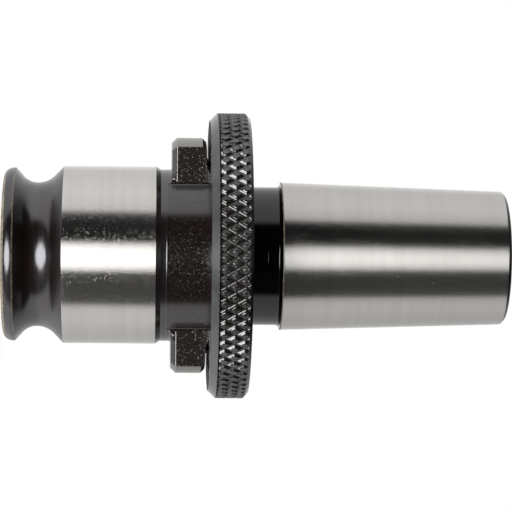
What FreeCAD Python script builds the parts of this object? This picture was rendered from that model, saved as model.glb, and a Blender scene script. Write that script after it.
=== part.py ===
import FreeCAD, Part
import math
import os
from FreeCAD import Vector

# Drill chuck adapter: one turned, milled, knurled and ground piece of tool steel.
# It stands on the end of its quick-change shank, and its axis is Z. The two
# driving lugs lie along X. All sizes are in millimetres and degrees.

# Lip at the shank end, which the chuck's balls draw in by
lip_d = 18.54
lip_length = 1.2
lip_outer_radius = 0.8
lip_inner_radius = 0.85
lip_flank_angle = 48.0

# Ball groove
groove_d = 15.4
groove_length = 5.14
groove_inner_radius = 2.0
groove_outer_radius = 2.5
groove_exit_angle = 46.0

# Ground shank
shank_d = 19.0
shank_length = 9.78
shank_exit_chamfer = 0.51

# Undercut neck between the shank and the lugs
neck_d = 18.36
neck_length = 1.15
neck_foot = 0.25

# Lug ring and the two pockets milled out of it
lug_ring_d = 25.2
lug_ring_length = 3.65
lug_width = 10.0
lug_entry_chamfer = 0.54
lug_exit_chamfer = 0.42
lug_side_chamfer = 0.5
pocket_floor_d = 18.2
pocket_overrun = 0.43
pocket_root_radius = 0.35

# Relief groove that frees the lugs from the flange
relief_width = 0.37
relief_floor_d = 19.92
relief_slope = 0.9

# Knurled flange
flange_d = 30.6
flange_thickness = 4.24
flange_back_chamfer = 0.8
flange_front_chamfer = 0.52

# Diamond knurl
knurl_starts = 80
knurl_helix = 30.0
knurl_depth = 0.4
knurl_groove_angle = 90.0
knurl_row_shift = 0.35
knurl_turn = -0.7

# Neck in front of the flange
front_neck_d = 14.82
front_neck_length = 3.37

# Short chuck taper, No. 33: the taper is the change of diameter per millimetre
taper_large_d = 15.85
taper_rate = 0.06349
taper_length = 24.17
taper_end_chamfer = 0.35

# Centre holes in both ends, from turning and grinding between centres
centre_mouth_d = 5.3
centre_pilot_d = 2.5
centre_cone_angle = 60.0
centre_depth = 5.4
drill_tip_angle = 118.0

# Stations along the axis
shank_start = lip_length + groove_length
shank_end = shank_start + shank_length
neck_start = shank_end + shank_exit_chamfer
ring_start = neck_start + neck_length
ring_end = ring_start + lug_ring_length
flange_start = ring_end + relief_width
flange_end = flange_start + flange_thickness
taper_start = flange_end + front_neck_length
taper_end = taper_start + taper_length

# How far the cutting shapes reach past the surfaces that they cut
clearance = 1.0
knurl_clearance = 0.15

axis = Vector(0, 0, 1)
origin = Vector(0, 0, 0)


def tangent(degrees):
    return math.tan(math.radians(degrees))


def at(radius, height):
    """A point of a half section, in the XZ plane."""
    return Vector(radius, 0, height)


def sharp(point):
    return point, 0, False


def rounded(point, radius):
    return point, radius, True


def bevelled(point, size):
    return point, size, False


def rounding(start, corner, end):
    """The edges of a rounding: one arc, or two where it turns by more than 60 degrees."""
    half_turn = (corner - start).getAngle(end - corner) / 2
    radius = start.distanceToPoint(corner) / math.tan(half_turn)
    inward = ((start - corner) + (end - corner)).normalize()
    centre = corner + inward * (radius / math.cos(half_turn))
    middle = centre - inward * radius
    if half_turn < math.radians(30):
        return [Part.Arc(start, middle, end).toShape()]
    first = centre + ((start - centre) + (middle - centre)).normalize() * radius
    second = centre + ((middle - centre) + (end - centre)).normalize() * radius
    return [Part.Arc(start, first, middle).toShape(), Part.Arc(middle, second, end).toShape()]


def outline(corners):
    """A closed wire through corners; a rounding or bevel is limited by the sides that it is on."""
    points = [point for point, size, is_round in corners]
    count = len(points)
    reaches = []
    for i, (point, size, is_round) in enumerate(corners):
        half_turn = (point - points[i - 1]).getAngle(points[(i + 1) % count] - point) / 2
        reaches.append(size * math.tan(half_turn) if is_round else size)
    limits = [1.0] * count
    for i in range(count):
        j = (i + 1) % count
        side = points[i].distanceToPoint(points[j])
        share = 0.999 * side / max(reaches[i] + reaches[j], 0.999 * side)
        limits[i] = min(limits[i], share)
        limits[j] = min(limits[j], share)
    edges = []
    ends = []
    for i, (point, size, is_round) in enumerate(corners):
        reach = reaches[i] * limits[i]
        start = point + (points[i - 1] - point).normalize() * reach
        end = point + (points[(i + 1) % count] - point).normalize() * reach
        ends.append((start, end))
        if is_round:
            edges += rounding(start, point, end)
        elif reach > 0:
            edges.append(Part.makeLine(start, end))
    for i in range(count):
        edges.append(Part.makeLine(ends[i - 1][1], ends[i][0]))
    return Part.Wire(Part.__sortEdges__(edges))


def centre_hole_points():
    """Half section of a centre hole from its drill tip out to its mouth, as (radius, depth)."""
    pilot_r = centre_pilot_d / 2
    mouth_r = centre_mouth_d / 2
    cone = (mouth_r - pilot_r) / tangent(centre_cone_angle / 2)
    tip = pilot_r / tangent(drill_tip_angle / 2)
    return [(0, centre_depth + tip), (pilot_r, centre_depth), (pilot_r, cone), (mouth_r, 0)]


def lip_and_groove_corners():
    lip_r = lip_d / 2
    groove_r = groove_d / 2
    shank_r = shank_d / 2
    floor_start = lip_length + (lip_r - groove_r) / tangent(lip_flank_angle)
    floor_end = shank_start - (shank_r - groove_r) / tangent(groove_exit_angle)
    return [
        rounded(at(lip_r, 0), lip_outer_radius),
        rounded(at(lip_r, lip_length), lip_inner_radius),
        rounded(at(groove_r, floor_start), groove_inner_radius),
        rounded(at(groove_r, floor_end), groove_outer_radius),
        sharp(at(shank_r, shank_start)),
    ]


def shank_and_neck_corners():
    shank_r = shank_d / 2
    neck_r = neck_d / 2
    return [
        sharp(at(shank_r, shank_end)),
        sharp(at(neck_r, neck_start)),
        bevelled(at(neck_r, ring_start), neck_foot),
    ]


def lug_ring_corners():
    ring_r = lug_ring_d / 2
    floor_r = relief_floor_d / 2
    return [
        bevelled(at(ring_r, ring_start), lug_entry_chamfer),
        bevelled(at(ring_r, ring_end), lug_exit_chamfer),
        sharp(at(floor_r + relief_slope, ring_end)),
        sharp(at(floor_r, flange_start)),
    ]


def front_corners():
    """The core that the flange sits on, the front neck and the taper."""
    neck_r = front_neck_d / 2
    large_r = taper_large_d / 2
    small_r = large_r - taper_rate / 2 * taper_length
    core_end = flange_start + flange_thickness / 2
    return [
        sharp(at(relief_floor_d / 2, core_end)),
        sharp(at(neck_r, core_end)),
        sharp(at(neck_r, taper_start)),
        sharp(at(large_r, taper_start)),
        bevelled(at(small_r, taper_end), taper_end_chamfer),
    ]


def turned_blank():
    """Everything turned on the axis, apart from the flange."""
    back_hole = [sharp(at(radius, depth)) for radius, depth in centre_hole_points()]
    front_hole = [sharp(at(radius, taper_end - depth)) for radius, depth in centre_hole_points()]
    corners = back_hole
    corners += lip_and_groove_corners()
    corners += shank_and_neck_corners()
    corners += lug_ring_corners()
    corners += front_corners()
    corners += reversed(front_hole)
    return Part.Face(outline(corners)).revolve(origin, axis, 360)


def pocket(side):
    """The space milled away between the lugs, on the +Y or the -Y side."""
    floor_r = pocket_floor_d / 2
    wall_y = lug_width / 2
    reach = lug_ring_d / 2 + clearance
    root_y = wall_y + pocket_root_radius
    root_x = math.sqrt((floor_r + pocket_root_radius) ** 2 - root_y ** 2)
    low = ring_start - pocket_overrun
    centre = {sign: Vector(sign * root_x, root_y, low) for sign in (1, -1)}
    on_wall = {sign: Vector(sign * root_x, wall_y, low) for sign in (1, -1)}
    on_floor = {}
    on_root = {}
    for sign in (1, -1):
        to_axis = Vector(-sign * root_x, -root_y, 0).normalize()
        between = (to_axis + Vector(0, -1, 0)).normalize()
        on_floor[sign] = centre[sign] + to_axis * pocket_root_radius
        on_root[sign] = centre[sign] + between * pocket_root_radius
    outer = [on_wall[1], Vector(reach, wall_y, low), Vector(reach, reach, low)]
    outer += [Vector(-reach, reach, low), Vector(-reach, wall_y, low), on_wall[-1]]
    edges = [Part.makeLine(start, end) for start, end in zip(outer, outer[1:])]
    edges.append(Part.Arc(on_wall[-1], on_root[-1], on_floor[-1]).toShape())
    edges.append(Part.Arc(on_floor[-1], Vector(0, floor_r, low), on_floor[1]).toShape())
    edges.append(Part.Arc(on_floor[1], on_root[1], on_wall[1]).toShape())
    tool = Part.Face(Part.Wire(edges)).extrude(axis * (flange_start - low))
    if side < 0:
        tool.rotate(origin, axis, 180)
    return tool


def lug_edge_wedge(side):
    """The chamfer along the entry edge of both lugs, on the +Y or the -Y side."""
    wall_y = lug_width / 2
    reach = lug_ring_d / 2 + clearance
    inner = wall_y - lug_side_chamfer
    outer = wall_y + clearance
    section = [
        Vector(-reach, inner, ring_start),
        Vector(-reach, outer, ring_start + lug_side_chamfer + clearance),
        Vector(-reach, outer, ring_start - clearance),
        Vector(-reach, inner, ring_start - clearance),
    ]
    wedge = Part.Face(Part.makePolygon(section + section[:1])).extrude(Vector(2 * reach, 0, 0))
    keep_r = neck_d / 2 + neck_foot
    core = Part.makeCylinder(keep_r, 4 * clearance + lug_side_chamfer, Vector(0, 0, ring_start - 2 * clearance))
    wedge = wedge.cut(core)
    if side < 0:
        wedge.rotate(origin, axis, 180)
    return wedge


def rim_corners(flat_r, height):
    """Corners of a rim with two straight sides to a knurl start, so each diamond's tip is one flat."""
    sides = 2 * knurl_starts
    corner_r = flat_r / math.cos(math.pi / sides)
    first = math.radians(knurl_turn)
    turns = [first + 2 * math.pi * (i + 0.5) / sides for i in range(sides)]
    return [Vector(corner_r * math.sin(turn), -corner_r * math.cos(turn), height) for turn in turns]


def flange_blank():
    outer_r = flange_d / 2
    levels = [
        rim_corners(outer_r - flange_back_chamfer, flange_start),
        rim_corners(outer_r, flange_start + flange_back_chamfer),
        rim_corners(outer_r, flange_end - flange_front_chamfer),
        rim_corners(outer_r - flange_front_chamfer, flange_end),
    ]
    faces = []
    for level in (levels[0], levels[-1]):
        faces.append(Part.Face(Part.makePolygon(level + level[:1])))
    for lower, upper in zip(levels, levels[1:]):
        for i in range(len(lower)):
            side = [lower[i - 1], lower[i], upper[i], upper[i - 1], lower[i - 1]]
            faces.append(Part.Face(Part.makePolygon(side)))
    return Part.Solid(Part.Shell(faces))


def knurl_groove(hand):
    """One V groove across the flange's rim, leaning to the right or the left."""
    outer_r = flange_d / 2
    middle = (flange_start + flange_end) / 2 + knurl_row_shift
    half_height = flange_thickness / 2 + abs(knurl_row_shift) + knurl_clearance
    half_length = half_height / math.cos(math.radians(knurl_helix))
    half_width = (knurl_depth + knurl_clearance) * tangent(knurl_groove_angle / 2)
    root = Vector(0, -(outer_r - knurl_depth), -half_length)
    right = Vector(half_width, -(outer_r + knurl_clearance), -half_length)
    left = Vector(-half_width, -(outer_r + knurl_clearance), -half_length)
    section = Part.Face(Part.makePolygon([root, right, left, root]))
    groove = section.extrude(Vector(0, 0, 2 * half_length))
    groove.rotate(origin, Vector(0, 1, 0), hand * knurl_helix)
    groove.translate(Vector(0, 0, middle))
    groove.rotate(origin, axis, knurl_turn)
    return groove


def knurled_flange():
    flange = flange_blank()
    for hand in (1, -1):
        groove = knurl_groove(hand)
        grooves = []
        for i in range(knurl_starts):
            copy = groove.copy()
            copy.rotate(origin, axis, 360 / knurl_starts * i)
            grooves.append(copy)
        flange = flange.cut(grooves)
    return flange


def adapter_body():
    body = turned_blank()
    milling = [pocket(1), pocket(-1), lug_edge_wedge(1), lug_edge_wedge(-1)]
    body = body.cut(milling)
    return body.fuse(knurled_flange())


os.makedirs("parts", exist_ok=True)
adapter = adapter_body()
adapter.exportStep("parts/adapter_body.step")
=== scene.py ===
import bmesh
import bpy
import math
from mathutils import Matrix, Vector


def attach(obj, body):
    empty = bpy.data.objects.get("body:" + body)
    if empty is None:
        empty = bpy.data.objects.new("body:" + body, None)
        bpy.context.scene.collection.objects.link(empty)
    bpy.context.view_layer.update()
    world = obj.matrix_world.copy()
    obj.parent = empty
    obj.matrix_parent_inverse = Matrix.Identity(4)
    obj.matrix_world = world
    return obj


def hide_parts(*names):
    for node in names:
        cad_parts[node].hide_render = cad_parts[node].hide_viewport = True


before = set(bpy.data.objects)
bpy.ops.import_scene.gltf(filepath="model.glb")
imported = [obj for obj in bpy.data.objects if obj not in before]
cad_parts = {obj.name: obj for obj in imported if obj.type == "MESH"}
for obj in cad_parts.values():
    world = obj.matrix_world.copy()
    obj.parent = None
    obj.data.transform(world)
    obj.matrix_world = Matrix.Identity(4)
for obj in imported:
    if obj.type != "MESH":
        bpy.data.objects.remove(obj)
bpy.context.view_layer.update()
scene = bpy.context.scene
scene.view_settings.view_transform = "Standard"
MM = 0.001

# Sizes of the adapter in millimetres. Most are those of its solid, and the edges are finer
# here. Heights are measured along the axis from the end face that it stands on. The two
# driving lugs lie along X.

# Lip, with an outer edge that is a quarter of an ellipse
LIP_R = 9.27
LIP_LENGTH = 1.2
LIP_HEIGHT = 0.8
LIP_CREST = 1.05
LIP_STEPS = 12
LIP_INNER_RADIUS = 0.3
LIP_FLANK = math.radians(48)

# Ball groove
GROOVE_R = 7.7
GROOVE_INNER_RADIUS = 2.0
GROOVE_OUTER_RADIUS = 2.5
GROOVE_EXIT = math.radians(46)

# Ground shank, and the neck between it and the lugs
SHANK_R = 9.5
SHANK_START = 6.34
SHANK_END = 16.12
NECK_R = 9.18
NECK_START = 16.63
NECK_FOOT = 0.25

# Lug ring before its pockets are milled
RING_R = 12.6
RING_START = 17.78
RING_END = 21.43
RING_ENTRY_CHAMFER = 0.54
RING_EXIT_CHAMFER = 0.42

# Lugs and pockets, with the burr that the milling left on the neck
LUG_HALF_WIDTH = 5.0
LUG_SIDE_CHAMFER = 0.5
FLOOR_R = 9.1
FLOOR_START = 17.35
ROOT_RADIUS = 0.35
BURR_HEIGHT = 0.02
BURR_LENGTH = 0.14
BURR_ROUNDING = 0.05

# Relief groove between the lugs and the flange
RELIEF_R = 9.96
RELIEF_SLOPE = 0.9

# Flange and its diamond knurl
FLANGE_R = 15.3
FLANGE_START = 21.8
FLANGE_END = 26.04
FLANGE_BACK_CHAMFER = 0.8
FLANGE_FRONT_CHAMFER = 0.52
KNURL_STARTS = 80
KNURL_HELIX = math.radians(30)
KNURL_DEPTH = 0.39
KNURL_CROSSING = 24.27
KNURL_TURN = math.radians(-0.8)

# Front neck, with the height and depth of each tool mark in it
FRONT_NECK_R = 7.41
FRONT_NECK_FOOT = 0.2
FRONT_NECK_FILLET = 0.42
TOOL_MARKS = ((27.26, 0.006), (27.84, 0.012))
TOOL_MARK_HALF_WIDTH = 0.05

# Taper, with a bare ring at its large end
TAPER_START = 29.41
TAPER_END = 53.58
TAPER_LARGE_R = 7.925
TAPER_SLOPE = 0.06349 / 2
TAPER_END_CHAMFER = 0.35
BARE_EDGE = 0.15

# Centre holes
CENTRE_MOUTH_R = 2.65
CENTRE_PILOT_R = 1.25
CENTRE_DEPTH = 5.4
CENTRE_CONE = math.radians(30)
DRILL_TIP = math.radians(59)

# Rounding of a turned edge
EDGE = 0.08

# How far from a small feature the last row of points on a long face lies. Such a row keeps
# the feature's normals from bending the face's shading.
BEFORE_SHANK_EDGE = 0.12
BEFORE_BURR = 0.05
BEFORE_FILLET = 0.06

# Even columns of points round the axis
COLUMNS = 360

# Points within MERGE_DISTANCE of each other become one, and so do two rows of points that
# are SAME_POINT apart
MERGE_DISTANCE = 1e-4
SAME_POINT = 1e-6

# A surface that turns by more than this has a sharp edge
SHARP_TURN = math.radians(38)

# The finishes, in the order of the mesh's material slots
OXIDE, SHANK, TAPER, LUG, POCKET, KNURLED, CHAMFERED, NECK, WORN, BARE_AND_RIM_LIGHT, PAINTED_RECESS_SHADE = range(11)


# Camera: where the photograph was taken from. The shank end points left in it, so the
# camera lies on its side.

CAMERA_DISTANCE = 252.8
CAMERA_AIM = 26.92
CAMERA_PITCH = math.asin(0.047)
CAMERA_ROLL = math.radians(0.495)
CAMERA_AZIMUTH = math.radians(1.6)
CAMERA_ANGLE = math.radians(12.43)


def make_camera():
    level = Vector((math.sin(CAMERA_AZIMUTH), math.cos(CAMERA_AZIMUTH), 0))
    axis = Vector((0, 0, 1))
    forward = math.cos(CAMERA_PITCH) * level + math.sin(CAMERA_PITCH) * axis
    along = math.cos(CAMERA_PITCH) * axis - math.sin(CAMERA_PITCH) * level
    across = along.cross(forward)
    right = math.cos(CAMERA_ROLL) * along + math.sin(CAMERA_ROLL) * across
    up = math.cos(CAMERA_ROLL) * across - math.sin(CAMERA_ROLL) * along
    place = Vector((0, 0, CAMERA_AIM)) - CAMERA_DISTANCE * forward
    data = bpy.data.cameras.new("camera")
    data.sensor_fit = "HORIZONTAL"
    data.angle = CAMERA_ANGLE
    data.clip_start = MM
    camera = bpy.data.objects.new("camera", data)
    turn = Matrix((right, up, -forward)).transposed().to_4x4()
    camera.matrix_world = Matrix.Translation(place * MM) @ turn
    scene.collection.objects.link(camera)
    scene.camera = camera


make_camera()


# Half sections. A corner is (radius, height, rounding, steps), and a rounding of 0 leaves
# it sharp.

def outline(corners):
    """The points, as (radius, height), of the line through corners with its roundings."""
    points = [corners[0][:2]]
    for before, corner, after in zip(corners, corners[1:], corners[2:]):
        if not corner[2]:
            points.append(corner[:2])
            continue
        here = Vector(corner[:2])
        back = (Vector(before[:2]) - here).normalized()
        onward = (Vector(after[:2]) - here).normalized()
        turn = back.angle(-onward)
        reach = corner[2] * math.tan(turn / 2)
        centre = here + (back + onward).normalized() * (corner[2] / math.cos(turn / 2))
        first = here + back * reach - centre
        last = here + onward * reach - centre
        for i in range(corner[3] + 1):
            share = i / corner[3]
            arm = math.sin((1 - share) * turn) * first + math.sin(share * turn) * last
            points.append(tuple(centre + arm / math.sin(turn)))
    points.append(corners[-1][:2])
    return points


def sharp(radius, height):
    return (radius, height, 0, 0)


def edge(radius, height):
    return (radius, height, EDGE, 2)


def centre_hole(end, inward):
    """A centre hole's corners from its drill tip out to its mouth in an end face."""
    cone = (CENTRE_MOUTH_R - CENTRE_PILOT_R) / math.tan(CENTRE_CONE)
    tip = CENTRE_DEPTH + CENTRE_PILOT_R / math.tan(DRILL_TIP)
    return [
        sharp(0, end + inward * tip),
        sharp(CENTRE_PILOT_R, end + inward * CENTRE_DEPTH),
        sharp(CENTRE_PILOT_R, end + inward * cone),
        edge(CENTRE_MOUTH_R, end),
    ]


def shank_corners():
    """From the back centre hole over the lip, the ball groove and the shank to the pockets."""
    groove_start = LIP_LENGTH + (LIP_R - GROOVE_R) / math.tan(LIP_FLANK)
    groove_end = SHANK_START - (SHANK_R - GROOVE_R) / math.tan(GROOVE_EXIT)
    lip = []
    for i in range(LIP_STEPS + 1):
        turn = math.pi / 2 * i / LIP_STEPS
        drop = LIP_HEIGHT * (1 - math.sin(turn))
        lip.append(sharp(LIP_R - drop, LIP_CREST * (1 - math.cos(turn))))
    return centre_hole(0, 1) + lip + [
        (LIP_R, LIP_LENGTH, LIP_INNER_RADIUS, 6),
        (GROOVE_R, groove_start, GROOVE_INNER_RADIUS, 12),
        (GROOVE_R, groove_end, GROOVE_OUTER_RADIUS, 12),
        sharp(SHANK_R - BEFORE_SHANK_EDGE, SHANK_START - BEFORE_SHANK_EDGE / math.tan(GROOVE_EXIT)),
        edge(SHANK_R, SHANK_START),
        edge(SHANK_R, SHANK_END),
        edge(NECK_R, NECK_START),
        sharp(NECK_R, FLOOR_START - BURR_LENGTH - BEFORE_BURR),
        sharp(NECK_R, FLOOR_START - BURR_LENGTH),
        (NECK_R + BURR_HEIGHT, FLOOR_START - BURR_LENGTH / 2, BURR_ROUNDING, 3),
        sharp(NECK_R + BURR_HEIGHT, FLOOR_START - SAME_POINT),
    ]


def lug_edge_rows():
    """Heights over the ring's start where the rounding of the lugs' entry edges has points."""
    return [LUG_SIDE_CHAMFER - EDGE * share for share in (1, 0.5, 0)]


def ring_corners():
    """The lug ring before its pockets are milled, from the neck to the flange."""
    return [
        sharp(NECK_R + BURR_HEIGHT, FLOOR_START - SAME_POINT),
        sharp(NECK_R, FLOOR_START),
        (NECK_R, RING_START, NECK_FOOT, 5),
        edge(RING_R - RING_ENTRY_CHAMFER, RING_START),
    ] + [
        sharp(RING_R - RING_ENTRY_CHAMFER + rise, RING_START + rise) for rise in lug_edge_rows()
    ] + [
        edge(RING_R, RING_START + RING_ENTRY_CHAMFER),
        sharp(RING_R, RING_START + LUG_SIDE_CHAMFER + EDGE),
        edge(RING_R, RING_END - RING_EXIT_CHAMFER),
        edge(RING_R - RING_EXIT_CHAMFER, RING_END),
        edge(RELIEF_R + RELIEF_SLOPE, RING_END),
        sharp(RELIEF_R, FLANGE_START),
    ]


def front_corners():
    """From the flange's front face over the front neck and the taper into the front centre hole."""
    end_r = TAPER_LARGE_R - TAPER_SLOPE * (TAPER_END - TAPER_START)
    marks = []
    for height, depth in TOOL_MARKS:
        for step, share in ((-2, 0), (-1, 0), (0, 1), (1, 0), (2, 0)):
            marks.append(sharp(FRONT_NECK_R - share * depth, height + step * TOOL_MARK_HALF_WIDTH))
    return [
        sharp(FRONT_NECK_R + 2 * FRONT_NECK_FOOT, FLANGE_END),
        (FRONT_NECK_R, FLANGE_END, FRONT_NECK_FOOT, 4),
    ] + marks + [
        sharp(FRONT_NECK_R, TAPER_START - FRONT_NECK_FILLET - BEFORE_FILLET),
        (FRONT_NECK_R, TAPER_START, FRONT_NECK_FILLET, 6),
        edge(TAPER_LARGE_R, TAPER_START),
        sharp(TAPER_LARGE_R - TAPER_SLOPE * BARE_EDGE, TAPER_START + BARE_EDGE),
        edge(end_r + TAPER_SLOPE * TAPER_END_CHAMFER, TAPER_END - TAPER_END_CHAMFER),
        edge(end_r - TAPER_END_CHAMFER, TAPER_END),
    ] + centre_hole(TAPER_END, -1)[::-1]


# Pockets: how far from the axis they leave the steel

ROOT_REACH = FLOOR_R + ROOT_RADIUS
ROOT_Y = LUG_HALF_WIDTH + ROOT_RADIUS
ROOT_X = math.sqrt(ROOT_REACH ** 2 - ROOT_Y ** 2)
LEAST_SINE = 0.1


def wall_radius(across, turn):
    """Radius at an angle round the axis of a wall that lies across from the X axis."""
    return across / max(abs(math.sin(turn)), LEAST_SINE)


def pocket_wall(turn):
    """Radius of a pocket's side wall, root fillet or floor at an angle round the axis."""
    sine = abs(math.sin(turn))
    cosine = abs(math.cos(turn))
    here = math.atan2(sine, cosine)
    if here >= math.atan2(ROOT_Y, ROOT_X):
        return FLOOR_R
    if here <= math.atan2(LUG_HALF_WIDTH, ROOT_X):
        return wall_radius(LUG_HALF_WIDTH, turn)
    along = ROOT_X * cosine + ROOT_Y * sine
    aside = ROOT_X * sine - ROOT_Y * cosine
    return along - math.sqrt(max(ROOT_RADIUS ** 2 - aside ** 2, 0))


def pocket_limit(turn, height):
    """Radius where a pocket ends at a height, with the chamfer on the lugs' entry edges."""
    limit = pocket_wall(turn)
    rise = height - RING_START
    if 0 <= rise < LUG_SIDE_CHAMFER + EDGE:
        rounded = max(rise - LUG_SIDE_CHAMFER + EDGE, 0)
        chamfer = LUG_HALF_WIDTH - LUG_SIDE_CHAMFER + rise - rounded ** 2 / (4 * EDGE)
        limit = min(limit, max(wall_radius(chamfer, turn), NECK_R + NECK_FOOT))
    return limit


def even_columns():
    return [2 * math.pi * (i + 0.5) / COLUMNS for i in range(COLUMNS)]


def columns_with_lugs():
    """Even columns, and some more at the lugs' edges and the pockets' roots."""
    root_turn = math.asin(ROOT_Y / ROOT_REACH)
    wall_turn = math.atan2(LUG_HALF_WIDTH, ROOT_X)
    extra = [math.asin(LUG_HALF_WIDTH / RING_R)]
    extra += [wall_turn + (root_turn - wall_turn) * i / 5 for i in range(6)]
    for radius in (NECK_R, NECK_R + BURR_HEIGHT):
        cosine = (radius ** 2 + ROOT_REACH ** 2 - ROOT_RADIUS ** 2) / (2 * radius * ROOT_REACH)
        extra.append(root_turn - math.acos(cosine))
    turns = even_columns()
    for turn in extra:
        turns += [turn, math.pi - turn, math.pi + turn, 2 * math.pi - turn]
    return sorted(turns)


def nearest_turn(turn, reference):
    """The same direction, within half a revolution of the reference."""
    return turn - 2 * math.pi * round((turn - reference) / (2 * math.pi))


# Skins. A value as near to zero as ZERO counts as zero where a skin is split, the place of
# such a line is bettered SPLIT_TRIES times, and the points of a ring lie within SAME_HEIGHT
# of its height.

ZERO = 1e-9
SPLIT_TRIES = 12
SAME_HEIGHT = 1e-7


class Skin:
    """Triangles over points that are held as (turn, radius, height)."""
    def __init__(self):
        self.points = []
        self.faces = []

    def add_point(self, turn, radius, height):
        self.points.append((turn, radius, height))
        return len(self.points) - 1

    def add_revolved(self, turns, section):
        """A half section turned round the axis, with a column of points at each turn."""
        rows = []
        for radius, height in section:
            if radius == 0:
                rows.append([self.add_point(0, 0, height)] * len(turns))
            else:
                rows.append([self.add_point(turn, radius, height) for turn in turns])
        for row, above in zip(rows, rows[1:]):
            for i in range(len(turns)):
                j = (i + 1) % len(turns)
                if row[i] != row[j]:
                    self.faces.append((row[i], row[j], above[j]))
                if above[i] != above[j]:
                    self.faces.append((row[i], above[j], above[i]))

    def split(self, value):
        """Divides the triangles along the line where value(turn, radius, height) is zero."""
        values = [value(*point) for point in self.points]
        values = [0.0 if abs(v) < ZERO else v for v in values]
        made = {}

        def crossing(a, b):
            key = (min(a, b), max(a, b))
            if key not in made:
                made[key] = self.add_point(*self.zero_between(value, *key))
                values.append(0.0)
            return made[key]

        faces = []
        for face in self.faces:
            signs = [values[point] for point in face]
            if min(signs) < 0 < max(signs):
                faces += divided(face, signs, crossing)
            else:
                faces.append(face)
        self.faces = faces

    def zero_between(self, value, a, b):
        """The place between two points at which value is zero."""
        first = self.points[a]
        last = self.points[b]
        last = (nearest_turn(last[0], first[0]), last[1], last[2])
        low, high = 0.0, 1.0
        at_low, at_high = value(*first), value(*last)
        point = first
        for _ in range(SPLIT_TRIES):
            share = low + (high - low) * at_low / (at_low - at_high)
            point = tuple(f + (l - f) * share for f, l in zip(first, last))
            here = value(*point)
            if abs(here) < ZERO:
                break
            if here * at_low > 0:
                low, at_low = share, here
            else:
                high, at_high = share, here
        return point

    def keep(self, value):
        """Drops the triangles on the negative side of a line that they were split along."""
        self.faces = [f for f in self.faces if sum(value(*self.points[p]) for p in f) > 0]

    def move(self, radius_at):
        """Gives each point the radius that radius_at(turn, radius, height) says."""
        self.points = [(t, radius_at(t, r, height), height) for t, r, height in self.points]

    def ring_at(self, height):
        """The points that triangles use at one height, in order round the axis."""
        used = {p for face in self.faces for p in face}
        level = [p for p in used if abs(self.points[p][2] - height) < SAME_HEIGHT]
        return sorted(level, key=lambda p: self.points[p][0] % (2 * math.pi))

    def join(self, other):
        base = len(self.points)
        self.points += other.points
        self.faces += [tuple(p + base for p in face) for face in other.faces]

    def close_flat(self, inner, outer, upwards):
        """Fills the flat ring between two loops of points."""
        def turn_of(loop, i):
            lap, place = divmod(i, len(loop))
            return self.points[loop[place]][0] % (2 * math.pi) + 2 * math.pi * lap

        i = j = 0
        while i < len(inner) or j < len(outer):
            inward = inner[i % len(inner)]
            outward = outer[j % len(outer)]
            inner_is_next = turn_of(inner, i + 1) < turn_of(outer, j + 1)
            if j == len(outer) or (i < len(inner) and inner_is_next):
                i += 1
                face = (inward, outward, inner[i % len(inner)])
            else:
                j += 1
                face = (inward, outward, outer[j % len(outer)])
            self.faces.append(face if upwards else face[::-1])


def divided(face, signs, crossing):
    """The two or three triangles that take a split one's place."""
    for i in range(3):
        a, b, c = face[i:] + face[:i]
        at_a, at_b, at_c = signs[i:] + signs[:i]
        if at_a == 0:
            m = crossing(b, c)
            return [(a, b, m), (a, m, c)]
        if at_a * at_b < 0 and at_a * at_c < 0:
            m = crossing(a, b)
            n = crossing(a, c)
            return [(a, m, n), (m, b, c), (m, c, n)]
    return [face]


def lug_ring():
    """The turned ring with two pockets milled out of it, which leave the lugs."""
    skin = Skin()
    skin.add_revolved(columns_with_lugs(), outline(ring_corners()))

    def above_pocket(turn, radius, height):
        return radius - pocket_limit(turn, height)

    def milled(turn, radius, height):
        if height < FLOOR_START:
            return radius
        return min(radius, pocket_limit(turn, height))

    skin.split(above_pocket)
    skin.move(milled)
    return skin


# Knurl: a lattice of lines in both hands, along each groove's middle, its flanks and the
# middle of the diamonds. A line is (distance across from a groove's middle, height over
# the level that lies KNURL_DEPTH under the rim). The diamonds are a little sunk in their
# middle. The grooves start shallow at the back chamfer and are full after a short rise.

KNURL_PITCH = 2 * math.pi * FLANGE_R * math.cos(KNURL_HELIX) / KNURL_STARTS
KNURL_GROOVE_MIDDLE = (0.0, 0.122)
KNURL_FLANK = [(0.093, 0.143), (0.168, 0.2), (0.302, 0.36), (0.345, 0.39)]
KNURL_PIT = 0.045
KNURL_RISE = 0.15
KNURL_SHALLOW = 0.2
KNURL_LINES = [KNURL_GROOVE_MIDDLE] + KNURL_FLANK
KNURL_LINES += [(KNURL_PITCH / 2, KNURL_DEPTH - KNURL_PIT)]
KNURL_LINES += [(KNURL_PITCH - across, height) for across, height in KNURL_FLANK[::-1]]


def chamfer_radius(height):
    """Radius of the flange's chamfers, which is largest between them."""
    back = FLANGE_R - FLANGE_BACK_CHAMFER + height - FLANGE_START
    front = FLANGE_R - FLANGE_FRONT_CHAMFER + FLANGE_END - height
    return min(back, front)


def knurl_fade(height):
    """Share of the grooves' depth at a height: shallow where they meet the back chamfer."""
    share = (height - FLANGE_START - FLANGE_BACK_CHAMFER) / KNURL_RISE
    return KNURL_SHALLOW + (1 - KNURL_SHALLOW) * min(max(share, 0), 1)


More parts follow.
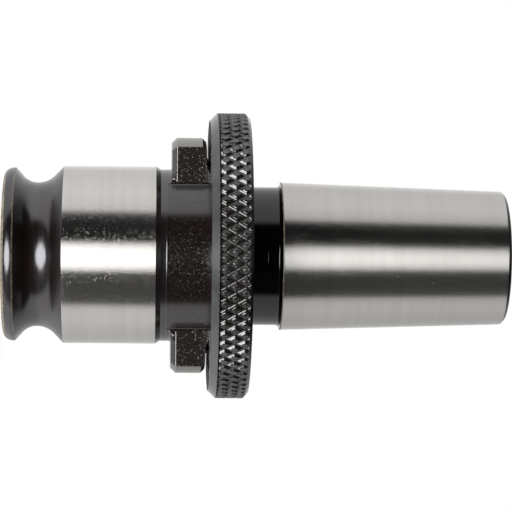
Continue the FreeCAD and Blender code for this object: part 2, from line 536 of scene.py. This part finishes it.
def knurled_rim():
    """The flange's rim with its grooves, cut off at both faces and by both chamfers."""
    skin = Skin()
    lines = len(KNURL_LINES)
    made = {}

    def lattice_point(right, left):
        """The point where two lines cross, by their counts in the two hands."""
        key = (right % (lines * KNURL_STARTS), left - right)
        if key not in made:
            right_groove, right_line = divmod(key[0], lines)
            left_groove, left_line = divmod(key[0] + key[1], lines)
            right_at, right_height = KNURL_LINES[right_line]
            left_at, left_height = KNURL_LINES[left_line]
            a = right_groove + right_at / KNURL_PITCH
            b = left_groove + left_at / KNURL_PITCH
            turn = KNURL_TURN - math.pi / 2 + (a + b) * math.pi / KNURL_STARTS
            height = KNURL_CROSSING + (b - a) * KNURL_PITCH / (2 * math.sin(KNURL_HELIX))
            radius = FLANGE_R - KNURL_DEPTH + min(right_height, left_height)
            made[key] = skin.add_point(turn, radius, height)
        return made[key]

    per_cell = KNURL_PITCH / (2 * math.sin(KNURL_HELIX))
    lowest = math.floor((FLANGE_START - KNURL_CROSSING) / per_cell - 1) * lines
    highest = math.ceil((FLANGE_END - KNURL_CROSSING) / per_cell + 1) * lines
    for right in range(lines * KNURL_STARTS):
        for left in range(right + lowest, right + highest):
            a = lattice_point(right, left)
            b = lattice_point(right + 1, left)
            c = lattice_point(right + 1, left + 1)
            d = lattice_point(right, left + 1)
            if skin.points[d][2] < FLANGE_START or skin.points[b][2] > FLANGE_END:
                continue
            if (right % lines) + (left % lines) == lines - 1:
                skin.faces += [(a, b, d), (b, c, d)]
            else:
                skin.faces += [(a, b, c), (a, c, d)]

    def above_back(turn, radius, height):
        return height - FLANGE_START

    def below_front(turn, radius, height):
        return FLANGE_END - height

    def above_chamfer(turn, radius, height):
        return radius - chamfer_radius(height)

    for side in (above_back, below_front):
        skin.split(side)
        skin.keep(side)
    for rise in (0, KNURL_RISE):
        skin.split(lambda turn, radius, height: height - FLANGE_START - FLANGE_BACK_CHAMFER - rise)
    skin.move(lambda turn, radius, height: FLANGE_R - (FLANGE_R - radius) * knurl_fade(height))
    skin.split(above_chamfer)
    skin.move(lambda turn, radius, height: min(radius, chamfer_radius(height)))
    return skin


def whole_skin():
    """The closed skin: shank, lug ring, flange and front, joined at the flange's faces."""
    skin = Skin()
    skin.add_revolved(columns_with_lugs(), outline(shank_corners()))
    skin.join(lug_ring())
    relief = skin.ring_at(FLANGE_START)
    base = len(skin.points)
    rim = knurled_rim()
    back_rim = [p + base for p in rim.ring_at(FLANGE_START)]
    front_rim = [p + base for p in rim.ring_at(FLANGE_END)]
    skin.join(rim)
    skin.close_flat(relief, back_rim, False)
    base = len(skin.points)
    front = Skin()
    front.add_revolved(even_columns(), outline(front_corners()))
    neck = [p + base for p in front.ring_at(FLANGE_END)]
    skin.join(front)
    skin.close_flat(neck, front_rim, True)
    return skin


# Where the finishes end, in millimetres. The slacks take in triangles with corners on a
# border or on the rounding of an edge.

ON_SURFACE = 0.001
SLACK = 0.01
LIP_RIM_LIGHT_LENGTH = 0.35
LIP_BARE_BEFORE = 0.06
LIP_BARE_AFTER = 0.12
SHANK_BEYOND = 0.1
TAPER_SHORT = 0.25
HOLE_RIM = 1.0


def is_bare_and_rim_light(inner, low, high):
    """Whether a triangle is on the lip's rim, with its painted highlight, or on the lip's inner edge or
    the taper's large edge, which are worn bare.
    """
    # The lip's rim gets the pale finish as a painted highlight, the glow of the bright backdrop round
    # its edge.
    if high < LIP_RIM_LIGHT_LENGTH:
        return inner > LIP_R - LIP_HEIGHT - SLACK
    if low > LIP_LENGTH - LIP_BARE_BEFORE and high < LIP_LENGTH + LIP_BARE_AFTER:
        return inner > LIP_R - LIP_BARE_AFTER
    if low > TAPER_START - ON_SURFACE and high < TAPER_START + BARE_EDGE + ON_SURFACE:
        return inner > TAPER_LARGE_R - EDGE - SLACK
    return False


def ring_finish(corners, radii):
    """The finish of a triangle between the neck and the flange, where it isn't black."""
    limits = [pocket_limit(math.atan2(y, x), z) for x, y, z in corners]
    if all(abs(r - limit) < ON_SURFACE for r, limit in zip(radii, limits)):
        return LUG if max(radii) > ROOT_REACH else POCKET
    return WORN if min(radii) > RING_R - RING_ENTRY_CHAMFER - SLACK else None


def flange_finish(corners, radii, low, high):
    """The finish of a triangle on the flange."""
    if high - low < ON_SURFACE:
        # The flange's back face gets the near-black finish, which is painted shade of the recess behind
        # the lugs.
        return NECK if low > FLANGE_START + ON_SURFACE else PAINTED_RECESS_SHADE
    limits = [chamfer_radius(z) for x, y, z in corners]
    on_chamfer = all(abs(r - limit) < ON_SURFACE for r, limit in zip(radii, limits))
    return CHAMFERED if on_chamfer else KNURLED


def finish_of(corners):
    """The finish of a triangle, from its corners in millimetres."""
    radii = [math.hypot(x, y) for x, y, z in corners]
    inner = min(radii)
    low = min(z for x, y, z in corners)
    high = max(z for x, y, z in corners)
    on_shank = low > SHANK_START - SHANK_BEYOND and high < SHANK_END + SHANK_BEYOND
    on_ring = low >= FLOOR_START - SLACK and high <= FLANGE_START + ON_SURFACE
    on_flange = low >= FLANGE_START - ON_SURFACE and high <= FLANGE_END + ON_SURFACE
    on_front_neck = low > FLANGE_END - ON_SURFACE and high < TAPER_START + EDGE
    on_taper = low > TAPER_START + EDGE / 2 and high < TAPER_END - TAPER_SHORT
    outside_hole = inner > CENTRE_MOUTH_R + HOLE_RIM
    if is_bare_and_rim_light(inner, low, high):
        return BARE_AND_RIM_LIGHT
    if on_shank and inner > SHANK_R - SLACK:
        return SHANK
    if on_taper and outside_hole:
        return TAPER
    ring = ring_finish(corners, radii) if on_ring else None
    if ring is not None:
        return ring
    if on_flange and inner > RELIEF_R - SLACK:
        return flange_finish(corners, radii, low, high)
    if on_front_neck and outside_hole:
        return NECK
    return OXIDE


def make_adapter():
    skin = whole_skin()
    mesh = bpy.data.meshes.new("adapter_skin")
    places = [(r * math.cos(t) * MM, r * math.sin(t) * MM, z * MM) for t, r, z in skin.points]
    mesh.from_pydata(places, [], skin.faces)
    work = bmesh.new()
    work.from_mesh(mesh)
    bmesh.ops.remove_doubles(work, verts=work.verts, dist=MERGE_DISTANCE * MM)
    bmesh.ops.dissolve_degenerate(work, edges=work.edges, dist=MERGE_DISTANCE * MM)
    loose = [v for v in work.verts if not v.link_faces]
    bmesh.ops.delete(work, geom=loose, context="VERTS")
    for face in work.faces:
        face.smooth = True
        face.material_index = finish_of([v.co / MM for v in face.verts])
    work.to_mesh(mesh)
    work.free()
    mesh.set_sharp_from_angle(angle=SHARP_TURN)
    adapter = bpy.data.objects.new("adapter", mesh)
    adapter.modifiers.new("normals", "WEIGHTED_NORMAL").keep_sharp = True
    scene.collection.objects.link(adapter)
    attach(adapter, "root")
    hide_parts("adapter_body")
    return adapter


adapter = make_adapter()


# Finishes. The colours are linear, and the depths are in millimetres.

ALONG_LINE = 60
GROUND_WEAR = 0.003
GROUND_SPREAD = 0.006
SCRATCH_TURNS = (-0.9, 0.5)


def add_node(tree, kind, links, **settings):
    """A node with its settings and with values or links in its sockets."""
    node = tree.nodes.new(kind)
    for name, value in settings.items():
        setattr(node, name, value)
    for socket, value in links.items():
        if isinstance(value, bpy.types.NodeSocket):
            tree.links.new(value, node.inputs[socket])
        else:
            node.inputs[socket].default_value = value
    return node


class Finish:
    """A material, with short calls for its nodes. Waves are counted per metre."""
    def __init__(self, name, **settings):
        self.material = bpy.data.materials.new(name)
        self.material.use_nodes = True
        self.tree = self.material.node_tree
        self.shader = self.tree.nodes["Principled BSDF"]
        for socket, value in settings.items():
            self.shader.inputs[socket.replace("_", " ")].default_value = value
        self.place = add_node(self.tree, "ShaderNodeTexCoord", {}).outputs["Object"]

    def noise(self, waves, detail=2.0, roughness=0.5, turn=0.0):
        """Noise with its own waves along each axis, turned about Y."""
        sizes = tuple(1 / count for count in waves)
        links = {"Vector": self.place, "Rotation": (0, turn, 0), "Scale": sizes}
        placed = add_node(self.tree, "ShaderNodeMapping", links, vector_type="TEXTURE")
        links = {"Vector": placed.outputs[0], "Scale": 1.0, "Detail": detail, "Roughness": roughness}
        return add_node(self.tree, "ShaderNodeTexNoise", links).outputs["Fac"]

    def grain(self, waves, detail=3.0, roughness=0.5):
        """Noise that is alike in all directions."""
        return self.noise((waves, waves, waves), detail, roughness)

    def lines(self, waves, detail=2.0, roughness=0.5):
        """Fine lines round the axis, from turning or grinding."""
        return self.noise((ALONG_LINE, ALONG_LINE, waves), detail, roughness)

    def spread(self, value, low, high, to_low=0.0, to_high=1.0):
        """The values from low to high, spread over to_low to to_high."""
        links = {"Value": value, "From Min": low, "From Max": high}
        links.update({"To Min": to_low, "To Max": to_high})
        return add_node(self.tree, "ShaderNodeMapRange", links).outputs["Result"]

    def mix(self, share, first, last):
        """A colour between first and last."""
        links = {0: share, 6: first, 7: last}
        return add_node(self.tree, "ShaderNodeMix", links, data_type="RGBA").outputs[2]

    def bump(self, height, depth, normal=None):
        """A surface as rough as height says, to a depth in millimetres."""
        links = {"Height": height, "Distance": depth * MM, "Strength": 1.0}
        if normal is not None:
            links["Normal"] = normal
        return add_node(self.tree, "ShaderNodeBump", links).outputs["Normal"]

    def set(self, socket, value):
        self.tree.links.new(value, self.shader.inputs[socket])


def ground_steel(name, rough, dark, light):
    """Steel ground bright, with grinding lines round the axis and fine wear."""
    finish = Finish(name, Metallic=1.0, Roughness=rough, Anisotropic=1.0, Anisotropic_Rotation=0.25)
    tangent = add_node(finish.tree, "ShaderNodeTangent", {}, direction_type="RADIAL", axis="Z")
    finish.set("Tangent", tangent.outputs[0])
    tone = finish.spread(finish.noise((20, 20, 900)), 0.3, 0.7)
    finish.set("Base Color", finish.mix(tone, dark, light))
    lines = finish.lines(9000, 3.0, 0.6)
    smoother, rougher = rough - GROUND_SPREAD, rough + GROUND_SPREAD
    finish.set("Roughness", finish.spread(lines, 0.3, 0.7, smoother, rougher))
    worn = finish.bump(finish.grain(6500, 2.0, 0.6), 0.4 * GROUND_WEAR)
    specks = finish.spread(finish.grain(5500, 2.0, 0.6), 0.62, 0.68)
    worn = finish.bump(specks, GROUND_WEAR, worn)
    for turn in SCRATCH_TURNS:
        scratches = finish.spread(finish.noise((1800, 1800, 12000), 1.0, 0.5, turn), 0.71, 0.75)
        worn = finish.bump(scratches, GROUND_WEAR, worn)
    finish.set("Normal", worn)
    return finish.material


def oxide_steel():
    """Blackened steel with turning lines, as in the ball groove and on the shank's neck."""
    finish = Finish("oxide_steel", IOR=1.9, Roughness=0.2, Specular_Tint=(0.96, 0.95, 1.0, 1))
    tone = finish.spread(finish.grain(300, 4.0), 0.35, 0.65)
    finish.set("Base Color", finish.mix(tone, (0.006, 0.004, 0.0035, 1), (0.014, 0.009, 0.008, 1)))
    lines = finish.lines(9000)
    finish.set("Roughness", finish.spread(lines, 0.3, 0.7, 0.16, 0.24))
    grains = finish.bump(finish.grain(6000, 2.0, 0.6), 0.002)
    finish.set("Normal", finish.bump(lines, 0.0004, grains))
    return finish.material


def milled_steel(name, dark, light, speck_waves, speck_level, speck_depth):
    """Blackened steel with the specks that milling leaves."""
    finish = Finish(name, IOR=1.8, Roughness=0.15)
    grains = finish.grain(9000, 3.0, 0.7)
    finish.set("Base Color", finish.mix(finish.spread(grains, 0.35, 0.65), dark, light))
    specks = finish.spread(finish.grain(speck_waves, 2.0, 0.6), speck_level, speck_level + 0.1)
    finish.set("Normal", finish.bump(grains, 0.001, finish.bump(specks, speck_depth)))
    return finish.material


def knurled_steel():
    finish = Finish("knurled_steel", IOR=2.05, Roughness=0.26)
    grains = finish.grain(4000)
    tone = finish.spread(grains, 0.35, 0.65)
    finish.set("Base Color", finish.mix(tone, (0.006, 0.005, 0.004, 1), (0.018, 0.015, 0.012, 1)))
    finish.set("Normal", finish.bump(grains, 0.004))
    return finish.material


def chamfered_steel():
    """The flange's chamfers, with patches where the black is thin."""
    finish = Finish("chamfered_steel", IOR=2.15, Roughness=0.15, Specular_Tint=(0.97, 0.98, 1.0, 1))
    patches = finish.grain(450, 4.0, 0.6)
    tone = finish.spread(patches, 0.4, 0.6)
    finish.set("Base Color", finish.mix(tone, (0.002, 0.002, 0.002, 1), (0.03, 0.029, 0.028, 1)))
    lines = finish.lines(6000)
    finish.set("Roughness", finish.spread(lines, 0.3, 0.7, 0.1, 0.2))
    finish.set("Normal", finish.bump(patches, 0.01, finish.bump(lines, 0.0006)))
    return finish.material


def neck_steel():
    """The deep black of the front neck and the flange's front face."""
    finish = Finish("neck_steel", IOR=1.5, Roughness=0.1)
    lines = finish.lines(3500)
    finish.set("Base Color", finish.mix(lines, (0.0003, 0.0003, 0.0004, 1), (0.002, 0.0018, 0.0018, 1)))
    finish.set("Roughness", finish.spread(lines, 0.3, 0.7, 0.06, 0.14))
    finish.set("Normal", finish.bump(lines, 0.0012))
    return finish.material


def worn_steel():
    """The lugs' tops, where the chuck has rubbed the black thin."""
    finish = Finish("worn_steel", IOR=2.8, Roughness=0.25, Specular_Tint=(1.0, 0.97, 0.9, 1))
    grains = finish.grain(3000)
    tone = finish.spread(grains, 0.35, 0.65)
    finish.set("Base Color", finish.mix(tone, (0.02, 0.018, 0.016, 1), (0.06, 0.056, 0.05, 1)))
    finish.set("Normal", finish.bump(grains, 0.002))
    return finish.material


def bare_steel_and_rim_light():
    """Edges that have lost their black. On the lip's rim the pale brown is a painted highlight, the
    glow of the backdrop round that edge.
    """
    finish = Finish("bare_steel_and_rim_light", IOR=2.2, Roughness=0.4)
    grains = finish.grain(3000)
    tone = finish.spread(grains, 0.4, 0.6)
    finish.set("Base Color", finish.mix(tone, (0.1, 0.075, 0.045, 1), (0.32, 0.26, 0.17, 1)))
    finish.set("Normal", finish.bump(grains, 0.003))
    return finish.material


def recess_painted_shade():
    """The flange's back face, which the lugs shade: near black and dull, a painted shade of the recess.
    """
    finish = Finish("recess_painted_shade", IOR=1.2, Roughness=0.6)
    grains = finish.grain(3000)
    finish.set("Base Color", finish.mix(grains, (0.0005, 0.0004, 0.0003, 1), (0.006, 0.004, 0.003, 1)))
    return finish.material


for finish in (
    oxide_steel(),
    ground_steel("shank_steel", 0.25, (0.565, 0.55, 0.525, 1), (0.605, 0.59, 0.565, 1)),
    ground_steel("taper_steel", 0.29, (0.51, 0.497, 0.475, 1), (0.55, 0.537, 0.515, 1)),
    milled_steel("lug_steel", (0.006, 0.0045, 0.004, 1), (0.026, 0.019, 0.016, 1), 3800, 0.61, 0.014),
    milled_steel("pocket_steel", (0.005, 0.003, 0.0025, 1), (0.016, 0.01, 0.0085, 1), 6000, 0.62, 0.01),
    knurled_steel(),
    chamfered_steel(),
    neck_steel(),
    worn_steel(),
    bare_steel_and_rim_light(),
    recess_painted_shade(),
):
    adapter.data.materials.append(finish)


# Studio: what the steel reflects, painted into the world by direction. A direction has a
# turn, in degrees round the axis from -Y towards +X, and a rise over the horizon. The
# surround is dark in front, where the camera is, and pale at the sides and behind. A key
# light shines from in front and below. Stops are (degrees, level).

SIDES = (
    (-180, 0.95), (-165, 0.84), (-140, 0.75), (-110, 0.88), (-90, 0.95), (-63, 0.92),
    (-58.5, 0.45), (-54.5, 0.05), (-48, 0.015), (24, 0.015), (28, 0.03), (61, 0.03),
    (64, 0.08), (68, 0.48), (72, 0.72), (80, 0.74), (97, 0.68), (112, 0.6),
    (130, 0.55), (150, 0.55), (165, 0.65), (180, 0.95),
)
SIDES_FADE = (
    (-85, 0.5), (-65, 0.7), (-45, 0.95), (-25, 1), (-5, 1.13), (15, 1.13),
    (30, 0.8), (45, 0.42), (60, 0.14), (90, 0.05),
)

# Shares that turns are narrowed by, so that the dark front is wider high up
NARROWING = ((15, 1), (45, 0.52))

# A dim card low on the side of +X
LOW_CARD_TURN = ((22, 0), (26, 0.16), (62, 0.15), (75, 0.28), (140, 0.28), (160, 0))
LOW_CARD_RISE = ((-82, 0), (-72, 1), (-14, 1), (-3, 0))

# The key light's middle and half sizes in degrees, its level, and how its edge fades in
# shares of those sizes squared
KEY_TURN = 1.5
KEY_RISE = -33.0
KEY_HALF_WIDTH = 22.0
KEY_HALF_HEIGHT = 25.0
KEY_LEVEL = 7.2
KEY_EDGE = ((0.85, 1), (1.1, 0))

# Straight down, the steel sees the lit ground
GROUND_SHARE = ((-86, 1), (-77, 0))
GROUND_LEVEL = 1.2


def make_world():
    world = bpy.data.worlds.new("studio")
    scene.world = world
    world.use_nodes = True
    tree = world.node_tree
    tree.nodes.clear()

    def calculate(operation, first, last):
        links = {0: first, 1: last}
        return add_node(tree, "ShaderNodeMath", links, operation=operation).outputs[0]

    def band(value, low, high, stops):
        """The level at a value from low to high, along stops of (value, level)."""
        links = {"Value": value, "From Min": low, "From Max": high}
        share = add_node(tree, "ShaderNodeMapRange", links)
        ramp = add_node(tree, "ShaderNodeValToRGB", {0: share.outputs[0]})
        elements = ramp.color_ramp.elements
        while len(elements) < len(stops):
            elements.new(0.5)
        for element, (place, level) in zip(elements, stops):
            element.position = (place - low) / (high - low)
            element.color = (level, level, level, 1)
        return ramp.outputs["Color"]

    def squared_share(value, middle, half_size):
        """How far a value lies from the middle, in half sizes squared."""
        share = calculate("DIVIDE", calculate("SUBTRACT", value, middle), half_size)
        return calculate("POWER", share, 2.0)

    def mixed(share, first, last):
        return add_node(tree, "ShaderNodeMix", {0: share, 2: first, 3: last}).outputs[0]

    direction = add_node(tree, "ShaderNodeTexCoord", {}).outputs["Generated"]
    parts = add_node(tree, "ShaderNodeSeparateXYZ", {0: direction}).outputs
    radians = calculate("ARCTAN2", parts["X"], calculate("MULTIPLY", parts["Y"], -1.0))
    turn = calculate("MULTIPLY", radians, math.degrees(1))
    rise = calculate("MULTIPLY", calculate("ARCSINE", parts["Z"], 0.0), math.degrees(1))

    narrowed = calculate("MULTIPLY", turn, band(rise, -90, 90, NARROWING))
    sides = band(narrowed, -180, 180, SIDES)
    sides = calculate("MULTIPLY", sides, band(rise, -90, 90, SIDES_FADE))
    low_card = band(turn, -180, 180, LOW_CARD_TURN)
    low_card = calculate("MULTIPLY", low_card, band(rise, -90, 90, LOW_CARD_RISE))
    across = squared_share(turn, KEY_TURN, KEY_HALF_WIDTH)
    upwards = squared_share(rise, KEY_RISE, KEY_HALF_HEIGHT)
    key = band(calculate("ADD", across, upwards), 0, 2, KEY_EDGE)
    key = calculate("MULTIPLY", key, KEY_LEVEL)
    surround = calculate("ADD", sides, calculate("ADD", low_card, key))
    reflected = mixed(band(rise, -90, 90, GROUND_SHARE), surround, GROUND_LEVEL)

    is_camera = add_node(tree, "ShaderNodeLightPath", {}).outputs["Is Camera Ray"]
    background = add_node(tree, "ShaderNodeBackground", {"Color": mixed(is_camera, reflected, 1.0)})
    add_node(tree, "ShaderNodeOutputWorld", {"Surface": background.outputs[0]})


make_world()


# Floor: white where the camera sees it, apart from the object's shadow. The steel reflects
# the studio's ground instead. The half side is in metres.

FLOOR_HALF = 9
FLOOR_WHITE = 0.85


def make_floor():
    corners = [(-FLOOR_HALF, -FLOOR_HALF, 0), (FLOOR_HALF, -FLOOR_HALF, 0)]
    corners += [(FLOOR_HALF, FLOOR_HALF, 0), (-FLOOR_HALF, FLOOR_HALF, 0)]
    mesh = bpy.data.meshes.new("floor")
    mesh.from_pydata(corners, [], [(0, 1, 2, 3)])
    floor = bpy.data.objects.new("floor", mesh)
    scene.collection.objects.link(floor)
    material = bpy.data.materials.new("floor")
    mesh.materials.append(material)
    material.use_nodes = True
    tree = material.node_tree
    shader = tree.nodes["Principled BSDF"]
    shader.inputs["Base Color"].default_value = (FLOOR_WHITE, FLOOR_WHITE, FLOOR_WHITE, 1)
    shader.inputs["Roughness"].default_value = 0.9
    shader.inputs["Emission Color"].default_value = (1, 1, 1, 1)
    is_camera = add_node(tree, "ShaderNodeLightPath", {}).outputs["Is Camera Ray"]
    links = {0: is_camera, 1: FLOOR_WHITE}
    glow = add_node(tree, "ShaderNodeMath", links, operation="MULTIPLY")
    tree.links.new(glow.outputs[0], shader.inputs["Emission Strength"])
    floor.visible_diffuse = False
    floor.visible_glossy = False
    floor.visible_shadow = False


make_floor()
